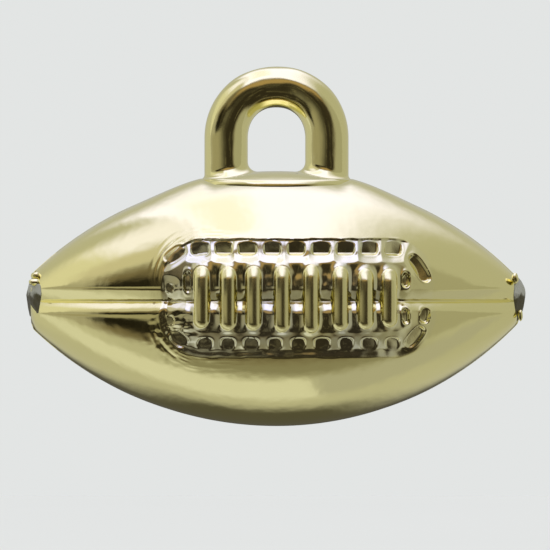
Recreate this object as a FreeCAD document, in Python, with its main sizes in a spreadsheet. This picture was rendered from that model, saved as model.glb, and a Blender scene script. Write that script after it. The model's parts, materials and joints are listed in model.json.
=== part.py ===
import FreeCAD, Part

import math
import os
import sys

import Sketcher

# A moulded, gold-metallised football charm with a hanging eye.
#
# Frame: +X along the ball, +Y to the back, +Z up. The origin is the centre of the eye's arch, where
# the charm hangs. Every piece is drawn about the ball's own centre, and dropped by EYE_HEIGHT.
#
# The ball is two hollow half shells that meet on the plane y = 0. The back shell carries a tongue and
# four pegs, and the front shell their groove and sockets. The eye is a loop on a saddle, whose tang
# passes a slot between the shells and has a head that they trap. A broken gate stands on each tip.

SIZES = (
    ("ball_radius", 9.6, "radius of the ball at its middle"),
    ("arc_left", 26.9, "radius of the profile arc, left end"),
    ("arc_right", 25.5, "radius of the profile arc, right end"),
    ("tip_left", 18.75, "middle to the left end face"),
    ("tip_right", 18.6, "middle to the right end face"),
    ("shell_wall", 1.4, "wall of both shells"),
    ("end_wall", 1.6, "solid stretch behind each end face"),
    ("seam_width", 1.8, "width of the moulded panel seam"),
    ("seam_depth", 0.52, "depth of the moulded panel seam"),
    ("tongue_inset", 0.45, "outer surface to the tongue"),
    ("tongue_width", 0.5, "thickness of the tongue"),
    ("tongue_height", 0.6, "how far the tongue stands out"),
    ("tongue_end", 13.5, "middle to each end of the tongue"),
    ("joint_fit", 0.05, "clearance of tongue, pegs and tang"),
    ("peg_radius", 0.6, "radius of a locating peg"),
    ("peg_length", 1.5, "how far a peg stands out"),
    ("peg_out", 9.0, "middle to a peg, along the ball"),
    ("peg_up", 3.4, "axis to a peg, up or down"),
    ("boss_radius", 1.25, "radius of a peg's or socket's boss"),
    ("lace_width", 1.14, "width of a lace bar"),
    ("lace_length", 4.85, "length of a lace bar"),
    ("lace_rise", 0.44, "height of a lace bar above the ball"),
    ("lace_round", 0.28, "rounding of a lace bar's outer edge"),
    ("lace_pitch", 2.03, "pitch of the lace bars"),
    ("lace_shift", 1.42, "ball's middle to the laces' middle"),
    ("lace_lift", 0.2, "seam to the laces' middle"),
    ("panel_shift", 1.75, "ball's middle to the stitched panel's"),
    ("panel_lift", 0.33, "seam to the stitched panel's middle"),
    ("panel_length", 19.0, "length of the stitch line"),
    ("panel_height", 7.35, "height of the stitch line"),
    ("panel_corner", 2.4, "corner radius of the stitch line"),
    ("stitch_pitch", 1.84, "pitch of the stitch rings"),
    ("stitch_radius", 0.6, "mean radius of a stitch ring"),
    ("stitch_thick", 0.27, "section radius of a stitch ring"),
    ("stitch_sink", 0.05, "surface to a ring's middle plane"),
    ("eye_rise", 2.8, "ball's top to the middle of the arch"),
    ("loop_radius", 3.85, "mean radius of the loop's arch"),
    ("loop_thick", 1.66, "section radius of the loop"),
    ("saddle_rise", 0.34, "saddle's top above the ball"),
    ("saddle_lip", 0.25, "saddle's end beyond the loop's leg"),
    ("saddle_depth", 8.2, "saddle's size from front to back"),
    ("foot_round", 0.55, "rounding where a leg meets the saddle"),
    ("seat_gap", 0.03, "saddle to the shells under it"),
    ("stem_length", 6.0, "tang's stem, along the ball"),
    ("stem_depth", 1.7, "tang's stem, front to back"),
    ("head_length", 7.4, "tang's head, along the ball"),
    ("head_depth", 3.6, "tang's head, front to back"),
    ("head_thick", 1.1, "tang's head, top to bottom"),
    ("gate_width", 2.7, "gate's break, top to bottom"),
    ("gate_depth", 2.4, "gate's break, front to back"),
    ("gate_length", 0.45, "how far a broken gate stands out"),
    ("gate_lift", 0.15, "seam to the gate's middle"),
)
EYE_HEIGHT = "(#ball_radius + #eye_rise)"
LACES = 8
SPARE = 2.0  # how far a cutting block runs past the ball
X_AXIS = FreeCAD.Vector(1, 0, 0)
Y_AXIS = FreeCAD.Vector(0, 1, 0)
Z_AXIS = FreeCAD.Vector(0, 0, 1)

doc = FreeCAD.newDocument("football_charm")
sheet = doc.addObject("Spreadsheet::Sheet", "Dims")
for row, (alias, value, note) in enumerate(SIZES, 1):
    sheet.set(f"A{row}", alias)
    sheet.set(f"B{row}", str(value))
    sheet.set(f"C{row}", note)
    sheet.setAlias(f"B{row}", alias)
doc.recompute()


def size(alias):
    """A driving dimension as a plain number."""
    return float(sheet.get(alias))


def bind(thing, **formulas):
    """Binds an object's properties to formulas over the sheet. Bare aliases are written with a #."""
    for name, formula in formulas.items():
        thing.setExpression(name.replace("__", "."), formula.replace("#", "Dims."))
    return thing


def dimension(sketch, name, constraint, formula):
    """A named sketch dimension that follows a formula."""
    index = sketch.addConstraint(Sketcher.Constraint(*constraint))
    sketch.renameConstraint(index, name)
    sketch.setExpression("Constraints." + name, formula.replace("#", "Dims."))


def radius_formula(side, along, inset="0"):
    """The ball's radius, less inset, at a distance along from the middle, as a formula."""
    arc = f"#arc_{side}"
    return f"(sqrt(({arc} - {inset})^2 - ({along})^2) - ({arc} - #ball_radius))"


def ball_radius_at(x):
    """The ball's outer radius at x, and its slope there."""
    arc = size("arc_left") if x < 0 else size("arc_right")
    reach = math.sqrt(arc * arc - x * x)
    return reach - (arc - size("ball_radius")), -x / reach


def join(kind, name, *shapes):
    """A boolean of two objects, or a fuse of several."""
    made = doc.addObject(kind, name)
    if kind in ("Part::MultiFuse", "Part::MultiCommon"):
        made.Shapes = list(shapes)
    else:
        made.Base, made.Tool = shapes
    made.Refine = False
    return made


def block(name, low, high):
    """A box between two corners, each given as three formulas."""
    made = doc.addObject("Part::Box", name)
    bind(
        made,
        Length=f"({high[0]}) - ({low[0]})",
        Width=f"({high[1]}) - ({low[1]})",
        Height=f"({high[2]}) - ({low[2]})",
        Placement__Base__x=low[0],
        Placement__Base__y=low[1],
        Placement__Base__z=low[2],
    )
    return made


def lemon(name, inset="0", trim="0"):
    """The ball, or a solid inset from it: its profile turned about the X axis, with flat ends."""
    sketch = doc.addObject("Sketcher::SketchObject", name + "Profile")
    rise = size("ball_radius")
    ends = {}
    for side, sign in (("left", -1), ("right", 1)):
        arc, tip = size("arc_" + side), size("tip_" + side)
        centre = FreeCAD.Vector(0, rise - arc, 0)
        tip_angle = math.acos(sign * tip / arc)
        first, last = sorted((math.pi / 2, tip_angle))
        circle = Part.Circle(centre, Z_AXIS, arc)
        ends[side] = (sketch.addGeometry(Part.ArcOfCircle(circle, first, last), False), sign * tip)
    left, left_x = ends["left"]
    right, right_x = ends["right"]
    corner_left, corner_right = FreeCAD.Vector(left_x, 0, 0), FreeCAD.Vector(right_x, 0, 0)
    end_left = sketch.addGeometry(Part.LineSegment(FreeCAD.Vector(left_x, 1, 0), corner_left), False)
    axis = sketch.addGeometry(Part.LineSegment(corner_left, corner_right), False)
    end_right = sketch.addGeometry(Part.LineSegment(corner_right, FreeCAD.Vector(right_x, 1, 0)), False)
    for constraint in (
        ("Coincident", left, 2, end_left, 1),
        ("Coincident", end_left, 2, axis, 1),
        ("Coincident", axis, 2, end_right, 1),
        ("Coincident", end_right, 2, right, 1),
        ("Coincident", right, 2, left, 1),
        ("PointOnObject", left, 3, -2),
        ("PointOnObject", right, 3, -2),
        ("PointOnObject", left, 1, -2),
        ("PointOnObject", axis, 1, -1),
        ("Horizontal", axis),
        ("Vertical", end_left),
        ("Vertical", end_right),
    ):
        sketch.addConstraint(Sketcher.Constraint(*constraint))
    for name_of, constraint, formula in (
        ("arc_left", ("Radius", left, size("arc_left")), f"#arc_left - ({inset})"),
        ("arc_right", ("Radius", right, size("arc_right")), f"#arc_right - ({inset})"),
        ("drop", ("DistanceY", left, 3, -1, 1, size("arc_left") - rise), "#arc_left - #ball_radius"),
        ("tip_left", ("DistanceX", axis, 1, -1, 1, -left_x), f"#tip_left - ({trim})"),
        ("tip_right", ("DistanceX", -1, 1, axis, 2, right_x), f"#tip_right - ({trim})"),
    ):
        dimension(sketch, name_of, constraint, formula)
    solid = doc.addObject("Part::Revolution", name)
    solid.Source = sketch
    solid.Axis = X_AXIS
    solid.Base = FreeCAD.Vector(0, 0, 0)
    solid.Angle = 360
    solid.Solid = True
    return solid


def pillars(name, radius, start, end):
    """Four round posts along Y at the pegs' places, from start to end, each a formula."""
    posts = []
    for along in (-1, 1):
        for up in (-1, 1):
            post = doc.addObject("Part::Cylinder", f"{name}{len(posts) + 1}")
            post.Placement.Rotation = FreeCAD.Rotation(X_AXIS, -90)
            bind(
                post,
                Radius=radius,
                Height=f"({end}) - ({start})",
                Placement__Base__x=f"{along} * #peg_out",
                Placement__Base__y=start,
                Placement__Base__z=f"{up} * #peg_up",
            )
            posts.append(post)
    return join("Part::MultiFuse", name, *posts)


def rim_band(name, play):
    """The tongue along the rim, or its groove where play is the joint's clearance."""
    outside = lemon(name + "Outside", f"#tongue_inset - ({play})")
    inside = lemon(name + "Inside", f"#tongue_inset + #tongue_width + ({play})")
    ring = join("Part::Cut", name + "Ring", outside, inside)
    end = f"#tongue_end + ({play})"
    past_slot = f"#head_length / 2 + #tongue_width - ({play})"
    depth, root = f"-(#tongue_height + ({play}))", "0" if play != "0" else "#tongue_width / 2"
    reach = f"#ball_radius + {SPARE}"
    spans = join(
        "Part::MultiFuse",
        name + "Spans",
        block(name + "Below", (f"-({end})", depth, f"-({reach})"), (end, root, "0")),
        block(name + "Left", (f"-({end})", depth, "0"), (f"-({past_slot})", root, reach)),
        block(name + "Right", (past_slot, depth, "0"), (end, root, reach)),
    )
    return join("Part::Common", name, ring, spans)


def seam_cutter(name, side, face):
    """A V-shaped cutter that follows one profile arc of the ball, on the front or the back."""
    sketch = doc.addObject("Sketcher::SketchObject", name + "Section")
    sketch.Placement = FreeCAD.Placement(
        FreeCAD.Vector(0, 0, 0), FreeCAD.Rotation(Y_AXIS * face, Z_AXIS, X_AXIS, "ZXY")
    )
    rise, depth, half = size("ball_radius"), size("seam_depth"), size("seam_width") / 2
    corners = [
        FreeCAD.Vector(rise - depth, 0, 0),
        FreeCAD.Vector(rise + depth, -2 * half, 0),
        FreeCAD.Vector(rise + depth, 2 * half, 0),
    ]
    for number, corner in enumerate(corners):
        sketch.addGeometry(Part.LineSegment(corner, corners[(number + 1) % 3]), False)
    for number in range(3):
        sketch.addConstraint(Sketcher.Constraint("Coincident", number, 2, (number + 1) % 3, 1))
    sketch.addConstraint(Sketcher.Constraint("PointOnObject", 0, 1, -1))
    sketch.addConstraint(Sketcher.Constraint("Symmetric", 1, 1, 1, 2, -1))
    for name_of, constraint, formula in (
        ("root", ("DistanceX", -1, 1, 0, 1, rise - depth), "#ball_radius - #seam_depth"),
        ("top", ("DistanceX", -1, 1, 1, 1, rise + depth), "#ball_radius + #seam_depth"),
        ("mouth", ("DistanceY", 1, 1, 1, 2, 4 * half), "2 * #seam_width"),
    ):
        dimension(sketch, name_of, constraint, formula)
    cutter = doc.addObject("Part::Revolution", name)
    cutter.Source = sketch
    cutter.Axis = Z_AXIS * (face if side == "left" else -face)
    cutter.Solid = True
    bind(
        cutter,
        Base__y=f"{-face} * (#arc_{side} - #ball_radius)",
        Angle=f"asin((#tip_{side} + {SPARE}) / #arc_{side})",
    )
    return cutter


def lace_outline(number):
    """A lace's outline, a slot with round ends, carried straight out through the front."""
    offset = number - (LACES - 1) / 2
    x = size("lace_shift") + offset * size("lace_pitch")
    radius, half = size("lace_width") / 2, (size("lace_length") - size("lace_width")) / 2
    lift = size("lace_lift")
    sketch = doc.addObject("Sketcher::SketchObject", f"Lace{number + 1}Outline")
    sketch.Placement.Rotation = FreeCAD.Rotation(X_AXIS, 90)
    top = Part.Circle(FreeCAD.Vector(x, lift + half, 0), Z_AXIS, radius)
    bottom = Part.Circle(FreeCAD.Vector(x, lift - half, 0), Z_AXIS, radius)
    sketch.addGeometry(Part.ArcOfCircle(top, 0, math.pi), False)
    sketch.addGeometry(Part.ArcOfCircle(bottom, math.pi, 2 * math.pi), False)
    for side in (-1, 1):
        ends = [FreeCAD.Vector(x + side * radius, lift + up * half, 0) for up in (1, -1)]
        sketch.addGeometry(Part.LineSegment(*ends), False)
    for constraint in (
        ("Tangent", 0, 2, 2, 1),
        ("Tangent", 2, 2, 1, 1),
        ("Tangent", 0, 1, 3, 1),
        ("Tangent", 3, 2, 1, 2),
        ("Vertical", 2),
    ):
        sketch.addConstraint(Sketcher.Constraint(*constraint))
    for name, constraint, formula in (
        ("radius", ("Radius", 0, radius), "#lace_width / 2"),
        ("along", ("DistanceX", -1, 1, 0, 3, x), f"#lace_shift + {offset} * #lace_pitch"),
        ("up", ("DistanceY", -1, 1, 0, 3, lift + half), "#lace_lift + (#lace_length - #lace_width) / 2"),
        ("length", ("DistanceY", 1, 3, 0, 3, 2 * half), "#lace_length - #lace_width"),
    ):
        dimension(sketch, name, constraint, formula)
    prism = doc.addObject("Part::Extrusion", f"Lace{number + 1}Prism")
    prism.Base = sketch
    prism.Dir = -Y_AXIS
    prism.Solid = True
    return bind(prism, LengthFwd=f"#ball_radius + {SPARE}")


def lace_bars():
    """The laces: raised bars that follow the ball, with their outer edges rounded."""
    outlines = join("Part::MultiFuse", "LaceOutlines", *[lace_outline(n) for n in range(LACES)])
    skin = join("Part::Cut", "LaceSkin", lemon("LaceTop", "-#lace_rise"), lemon("LaceRoot", "#shell_wall / 2"))
    bars = join("Part::Common", "LaceBars", outlines, skin)
    doc.recompute()
    top_edges = []
    for number, edge in enumerate(bars.Shape.Edges, 1):
        middle = edge.valueAt((edge.FirstParameter + edge.LastParameter) / 2)
        height = math.hypot(middle.y, middle.z) - ball_radius_at(middle.x)[0]
        if height > size("lace_rise") / 2 and middle.y < 0:
            top_edges.append((number, size("lace_round"), size("lace_round")))
    rounded = doc.addObject("Part::Fillet", "RoundedLaces")
    rounded.Base = bars
    rounded.Edges = top_edges
    return rounded


def stitch_places():
    """The centres of the stitch rings, as (x, z), walked round a rounded rectangle from the seam."""
    corner = size("panel_corner")
    flat = size("panel_length") - 2 * corner
    upright = size("panel_height") - 2 * corner
    bend = corner * math.pi / 2
    around = 2 * (flat + upright) + 4 * bend
    count = round(around / size("stitch_pitch"))
    legs = ((upright, 90), (flat, 180), (upright, 270), (flat, 0))
    places = []
    for number in range(count):
        left = (number + 0.5) * around / count + upright / 2
        x, z = size("panel_length") / 2, -upright / 2
        for length, heading in legs:
            along = FreeCAD.Vector(math.cos(math.radians(heading)), math.sin(math.radians(heading)), 0)
            inward = FreeCAD.Vector(-along.y, along.x, 0)
            step = min(left, length)
            x, z = x + step * along.x, z + step * along.y
            left -= step
            turn = min(left, bend) / corner
            x += corner * (along.x * math.sin(turn) + inward.x * (1 - math.cos(turn)))
            z += corner * (along.y * math.sin(turn) + inward.y * (1 - math.cos(turn)))
            left -= turn * corner
            if left <= 0:
                break
        if left <= 0:
            places.append((size("panel_shift") + x, size("panel_lift") + z))
    clear = size("stitch_radius") + size("stitch_thick") + size("seam_width") / 4
    return [place for place in places if abs(place[1]) > clear]


def stitch_ring(number, x, z):
    """One stitch: a ring sunk by half into the ball, square to its surface."""
    radius, slope = ball_radius_at(x)
    foot = FreeCAD.Vector(x, -math.sqrt(radius * radius - z * z), z)
    normal = FreeCAD.Vector(-radius * slope, foot.y, z).normalize()
    ring = doc.addObject("Part::Torus", f"Stitch{number + 1}")
    ring.Placement = FreeCAD.Placement(
        foot - normal * size("stitch_sink"), FreeCAD.Rotation(Z_AXIS, normal)
    )
    return bind(ring, Radius1="#stitch_radius", Radius2="#stitch_thick")


def shell_blank(name, ball, cavity, bosses, wall_middle, side_block, slot):
    """One hollow half of the ball, with its bosses and half of the tang's slot."""
    half = join("Part::Common", name + "Half", ball, side_block)
    hollow = join("Part::Cut", name + "Hollow", half, cavity)
    boss_half = join("Part::MultiCommon", name + "Bosses", bosses, wall_middle, side_block)
    bossed = join("Part::Fuse", name + "Bossed", hollow, boss_half)
    return join("Part::Cut", name + "Blank", bossed, slot)


def loop_body():
    """The loop itself: a round section carried up one leg, over the arch and down the other."""
    body = doc.addObject("PartDesign::Body", "LoopBody")
    planes = {feature.Role: feature for feature in body.Origin.OriginFeatures}
    radius, height = size("loop_radius"), size("ball_radius") + size("eye_rise")
    foot = size("eye_rise") + size("shell_wall") / 2
    path = body.newObject("Sketcher::SketchObject", "LoopPath")
    path.AttachmentSupport = [(planes["XZ_Plane"], "")]
    path.MapMode = "FlatFace"
    points = [FreeCAD.Vector(s * radius, v, 0) for s, v in ((-1, height - foot), (-1, height))]
    points += [FreeCAD.Vector(radius, v, 0) for v in (height, height - foot)]
    path.addGeometry(Part.LineSegment(points[0], points[1]), False)
    arch = Part.Circle(FreeCAD.Vector(0, height, 0), Z_AXIS, radius)
    path.addGeometry(Part.ArcOfCircle(arch, 0, math.pi), False)
    path.addGeometry(Part.LineSegment(points[2], points[3]), False)
    for constraint in (
        ("Vertical", 0),
        ("Vertical", 2),
        ("Coincident", 0, 2, 1, 2),
        ("Coincident", 1, 1, 2, 1),
        ("PointOnObject", 1, 3, -2),
        ("Horizontal", 0, 2, 1, 3),
        ("Horizontal", 0, 1, 2, 2),
        ("Horizontal", 1, 1, 1, 3),
    ):
        path.addConstraint(Sketcher.Constraint(*constraint))
    for name_of, constraint, formula in (
        ("radius", ("Radius", 1, radius), "#loop_radius"),
        ("height", ("DistanceY", -1, 1, 1, 3, height), EYE_HEIGHT),
        ("foot", ("DistanceY", 0, 1, 0, 2, foot), "#eye_rise + #shell_wall / 2"),
    ):
        dimension(path, name_of, constraint, formula)
    section = body.newObject("Sketcher::SketchObject", "LoopSection")
    section.AttachmentSupport = [(planes["XY_Plane"], "")]
    section.MapMode = "FlatFace"
    bind(section, AttachmentOffset__Base__z="#ball_radius - #shell_wall / 2")
    section.addGeometry(
        Part.Circle(FreeCAD.Vector(-radius, 0, 0), Z_AXIS, size("loop_thick")), False
    )
    section.addConstraint(Sketcher.Constraint("PointOnObject", 0, 3, -1))
    for name_of, constraint, formula in (
        ("out", ("DistanceX", 0, 3, -1, 1, radius), "#loop_radius"),
        ("thick", ("Radius", 0, size("loop_thick")), "#loop_thick"),
    ):
        dimension(section, name_of, constraint, formula)
    doc.recompute()
    pipe = body.newObject("PartDesign::AdditivePipe", "LoopPipe")
    pipe.Profile = section
    pipe.Spine = (path, ["Edge1", "Edge2", "Edge3"])
    body.Tip = pipe
    return body


def saddle_plate():
    """The oval plate under the loop, which follows the ball and stands saddle_rise above it."""
    oval = doc.addObject("Part::Ellipse", "SaddleOval")
    bind(
        oval,
        MajorRadius="#loop_radius + #loop_thick + #saddle_lip",
        MinorRadius="#saddle_depth / 2",
    )
    prism = doc.addObject("Part::Extrusion", "SaddlePrism")
    prism.Base = oval
    prism.Dir = Z_AXIS
    prism.Solid = True
    bind(prism, LengthFwd=f"#ball_radius + {SPARE}")
    return join("Part::Common", "SaddlePlate", lemon("SaddleTop", "-#saddle_rise"), prism)


def rounded_foot(loop_and_saddle):
    """Rounds the two creases where the loop's legs stand on the saddle."""
    doc.recompute()
    leg = size("loop_thick")
    low = size("ball_radius") - size("saddle_rise")
    high = size("ball_radius") + 2 * size("saddle_rise")
    creases = []
    for number, edge in enumerate(loop_and_saddle.Shape.Edges, 1):
        box = edge.BoundBox
        around_leg = box.YLength > leg and box.XLength > leg and box.XLength < 3 * leg
        if around_leg and low - leg < box.ZMin and box.ZMax < high and abs(box.Center.x) > leg:
            creases.append((number, size("foot_round"), size("foot_round")))
    rounded = doc.addObject("Part::Fillet", "RoundedFoot")
    rounded.Base = loop_and_saddle
    rounded.Edges = creases
    return rounded


def hanging_loop():
    """The loop on its saddle, cut to the ball's surface, with the tang that the shells trap."""
    standing = join("Part::Fuse", "LoopOnSaddle", loop_body(), saddle_plate())
    seated = join("Part::Cut", "LoopSeated", rounded_foot(standing), lemon("Seat", "-#seat_gap"))
    corner = radius_formula("right", "#head_length / 2", "#shell_wall")
    head_top = f"(sqrt({corner}^2 - (#head_depth / 2)^2) - #joint_fit)"
    stem = block(
        "TangStem",
        ("-#stem_length / 2", "-#stem_depth / 2", f"{head_top} - #head_thick / 2"),
        ("#stem_length / 2", "#stem_depth / 2", "#ball_radius + #saddle_rise / 2"),
    )
    head = block(
        "TangHead",
        ("-#head_length / 2", "-#head_depth / 2", f"{head_top} - #head_thick"),
        ("#head_length / 2", "#head_depth / 2", head_top),
    )
    return join("Part::MultiFuse", "HangingLoop", seated, stem, head)


def gate_stub(name, side, base, tip):
    """A gate's broken end: an irregular prism that narrows from the end face to its break."""
    sign = -1 if side == "left" else 1
    body = doc.addObject("PartDesign::Body", name)
    planes = {feature.Role: feature for feature in body.Origin.OriginFeatures}
    sketches = []
    for level, outline in (("Base", base), ("Break", tip)):
        sketch = body.newObject("Sketcher::SketchObject", name + level)
        sketch.AttachmentSupport = [(planes["YZ_Plane"], "")]
        sketch.MapMode = "FlatFace"
        reach = f"#tip_{side}" if level == "Base" else f"(#tip_{side} + #gate_length)"
        bind(
            sketch, AttachmentOffset__Base__z=f"{sign} * {reach}", AttachmentOffset__Base__y="#gate_lift"
        )
        half_depth, half_width = size("gate_depth") / 2, size("gate_width") / 2
        corners = [FreeCAD.Vector(y * half_depth, z * half_width, 0) for y, z in outline]
        for number, corner in enumerate(corners):
            after = corners[(number + 1) % len(corners)]
            sketch.addGeometry(Part.LineSegment(corner, after), False)
        for number, (share_y, share_z) in enumerate(outline):
            following = (number + 1) % len(corners)
            sketch.addConstraint(Sketcher.Constraint("Coincident", number, 2, following, 1))
            for axis, share, half, whole in (
                ("DistanceX", share_y, half_depth, "gate_depth"),
                ("DistanceY", share_z, half_width, "gate_width"),
            ):
                name_of = f"{axis[-1].lower()}{number + 1}"
                constraint = (axis, -1, 1, number, 1, share * half)
                dimension(sketch, name_of, constraint, f"{share} * #{whole} / 2")
        sketches.append(sketch)
    doc.recompute()
    loft = body.newObject("PartDesign::AdditiveLoft", name + "Loft")
    loft.Profile = sketches[0]
    loft.Sections = [sketches[1]]
    loft.Ruled = True
    body.Tip = loft
    return body


def build():
    """Makes every sub-part, and returns them by the name of their node."""
    reach = f"(#ball_radius + {SPARE})"
    past_left, past_right = f"-(#tip_left + {SPARE})", f"#tip_right + {SPARE}"
    front_side = block("FrontSide", (past_left, f"-{reach}", f"-{reach}"), (past_right, "0", reach))
    back_side = block("BackSide", (past_left, "0", f"-{reach}"), (past_right, reach, reach))
    ball = lemon("Ball")
    cavity = lemon("Cavity", "#shell_wall", "#end_wall")
    wall_middle = lemon("WallMiddle", "#shell_wall / 2", "#end_wall / 2")
    bosses = pillars("Boss", "#boss_radius", "-#ball_radius", "#ball_radius")
    slot = block(
        "TangSlot",
        ("-#stem_length / 2 - #joint_fit", "-#stem_depth / 2 - #joint_fit", "#ball_radius / 2"),
        ("#stem_length / 2 + #joint_fit", "#stem_depth / 2 + #joint_fit", reach),
    )
    front = shell_blank("Front", ball, cavity, bosses, wall_middle, front_side, slot)
    back = shell_blank("Back", ball, cavity, bosses, wall_middle, back_side, slot)

    sockets = pillars("Socket", "#peg_radius + #joint_fit", "-(#peg_length + 2 * #joint_fit)", "0")
    cuts = [sockets, rim_band("Groove", "#joint_fit")]
    cuts += [seam_cutter(f"FrontSeam{side.title()}", side, -1) for side in ("left", "right")]
    front_cuts = join("Part::MultiFuse", "FrontCuts", *cuts)
    plain_front = join("Part::Cut", "PlainFront", front, front_cuts)
    relief = [lace_bars()]
    relief += [stitch_ring(number, x, z) for number, (x, z) in enumerate(stitch_places())]
    front_shell = join("Part::MultiFuse", "FrontShell", plain_front, *relief)

    pegs = pillars("Peg", "#peg_radius", "-#peg_length", "#peg_radius")
    pegged = join("Part::MultiFuse", "PeggedBack", back, pegs, rim_band("Tongue", "0"))
    back_seams = [seam_cutter(f"BackSeam{side.title()}", side, 1) for side in ("left", "right")]
    back_cuts = join("Part::MultiFuse", "BackCuts", *back_seams)
    back_shell = join("Part::Cut", "BackShell", pegged, back_cuts)

    left_base = ((0.2, 1.0), (-0.8, 0.7), (-1.0, -0.3), (-0.5, -1.0), (0.6, -0.9), (1.0, 0.2))
    left_break = ((0.1, 0.45), (-0.55, 0.6), (-0.7, -0.1), (-0.3, -0.85), (0.4, -0.6), (0.65, 0.1))
    right_base = ((0.3, 0.95), (-0.7, 0.9), (-1.0, 0.1), (-0.7, -0.9), (0.5, -1.0), (1.0, -0.1))
    right_break = ((0.2, 0.8), (-0.4, 0.55), (-0.6, 0.0), (-0.45, -0.5), (0.3, -0.7), (0.6, 0.1))
    return {
        "front_shell": front_shell,
        "back_shell": back_shell,
        "hanging_loop": hanging_loop(),
        "gate_stub_left": gate_stub("LeftGate", "left", left_base, left_break),
        "gate_stub_right": gate_stub("RightGate", "right", right_base, right_break),
    }


def main():
    nodes = build()
    for node, piece in nodes.items():
        piece.Label = node
        bind(piece, Placement__Base__z="-" + EYE_HEIGHT)
    doc.recompute()
    for thing in doc.Objects:
        if "Invalid" in thing.State or "Error" in thing.State:
            sys.exit(f"{thing.Name} failed: {thing.State}")
    for node, piece in nodes.items():
        shape = piece.Shape
        if shape.isNull() or not shape.isValid() or not shape.Solids:
            sys.exit(f"{node} has no valid solid")
    os.makedirs("parts", exist_ok=True)
    for node, piece in nodes.items():
        piece.Shape.exportStep(os.path.join("parts", node + ".step"))
        box = piece.Shape.BoundBox
        print(f"{node}: {box.XLength:.2f} x {box.YLength:.2f} x {box.ZLength:.2f} mm, "
              f"{len(piece.Shape.Solids)} solids, {piece.Shape.Volume:.1f} mm3")


main()
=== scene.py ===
import json
import math

import bmesh
import bpy
import numpy as np
from bpy.props import FloatProperty, FloatVectorProperty, IntProperty, PointerProperty
from mathutils import Matrix, Vector
from mathutils.noise import noise_vector, seed_set


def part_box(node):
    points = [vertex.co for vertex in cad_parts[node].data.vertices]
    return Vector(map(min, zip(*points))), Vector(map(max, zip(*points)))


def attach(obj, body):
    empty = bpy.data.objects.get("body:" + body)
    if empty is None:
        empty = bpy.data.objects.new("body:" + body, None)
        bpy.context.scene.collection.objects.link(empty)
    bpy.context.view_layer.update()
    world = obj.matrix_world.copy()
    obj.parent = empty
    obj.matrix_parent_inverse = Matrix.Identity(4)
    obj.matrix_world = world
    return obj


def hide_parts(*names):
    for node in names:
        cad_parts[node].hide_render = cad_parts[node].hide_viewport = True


bl_info = {
    "name": "Football Charm",
    "version": (1, 0, 0),
    "blender": (4, 5, 0),
    "location": "3D View > Sidebar > Charm",
    "description": "Builds a gold-plated football charm around its packed CAD frame",
    "category": "Add Mesh",
}

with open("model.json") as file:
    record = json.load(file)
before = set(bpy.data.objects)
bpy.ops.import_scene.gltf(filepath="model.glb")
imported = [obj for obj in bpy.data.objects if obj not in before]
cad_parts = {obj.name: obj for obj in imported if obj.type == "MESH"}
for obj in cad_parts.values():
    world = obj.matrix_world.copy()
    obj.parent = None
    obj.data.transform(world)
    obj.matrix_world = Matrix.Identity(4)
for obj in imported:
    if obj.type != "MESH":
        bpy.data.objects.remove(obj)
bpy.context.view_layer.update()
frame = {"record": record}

MM = 0.001
BODY = "root"

# Sizes that the frame gives. The origin is the middle of the loop's arch.
_back_low, _back_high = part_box("back_shell")
_front_low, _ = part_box("front_shell")
_eye = frame["record"]["mounts"][0]["dims"]
BALL_RADIUS = (_back_high.z - _back_low.z) / 2
BALL_Z = (_back_high.z + _back_low.z) / 2
TIP_LEFT, TIP_RIGHT = -_back_low.x, _back_high.x
LACE_RISE = -_front_low.y - BALL_RADIUS
EYE_RADIUS = _eye["r_mm"] * MM
LOOP_SECTION = _eye["length_mm"] * MM / 2


def length(name, description, default, **more):
    """A length property, in metres, given in millimetres."""
    return FloatProperty(
        name=name, description=description, default=default * MM, unit="LENGTH", precision=5, **more
    )


def colour(name, description, default):
    """A colour property."""
    return FloatVectorProperty(
        name=name, description=description, default=default, size=3, subtype="COLOR", min=0, max=4
    )


def share_of(name, description, default):
    """A plain share or slope."""
    return FloatProperty(name=name, description=description, default=default, subtype="FACTOR")


# ---- Settings ----


class BallSettings(bpy.types.PropertyGroup):
    """The two half shells."""

    arc_left: length("Left arc", "Radius of the profile arc of the left end", 26.9)
    arc_right: length("Right arc", "Radius of the profile arc of the right end", 25.5)
    wall: length("Wall", "Wall of both shells", 1.4)
    end_wall: length("End wall", "Solid stretch behind each end face", 1.6)
    end_round: length("End rounding", "Rounding of both end faces", 0.3)
    seam_half: length("Seam half width", "Middle of the seam to where its bank turns over", 0.94)
    seam_turn: length("Seam turn", "Length over which the bank turns into the panel", 0.5)
    seam_turn_low: length("Lower seam shoulder", "Length of the rounding at the lower bank's top", 1.05)
    seam_slope: share_of("Seam slope", "Steepness of the seam's banks", 0.66)
    bead_rise: length("Parting bead", "Height of the bead along the parting line", 0.05)
    shoulder_rise: length("Shoulder rise", "Height of the shoulders beside the loop", 0.40)
    shoulder_reach: length("Shoulder reach", "How far the shoulders run along the ball", 11.0)


class LaceSettings(bpy.types.PropertyGroup):
    """The raised lace bars."""

    half_width: length("Bar half width", "Half the width of a lace bar", 0.59)
    bed_depth: length("Bed depth", "How far the surface sinks round the bars", 0.10)
    ramp_length: length("Ramp length", "Length of the slope at a bar's upper end", 0.70)
    root_width: length("Root width", "Width of the rounding at a bar's root", 0.45)
    root_rise: length("Root rise", "Height of that rounding", 0.11)
    ramp_drop: length("Ramp drop", "How far that slope falls", 0.18)


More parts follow.
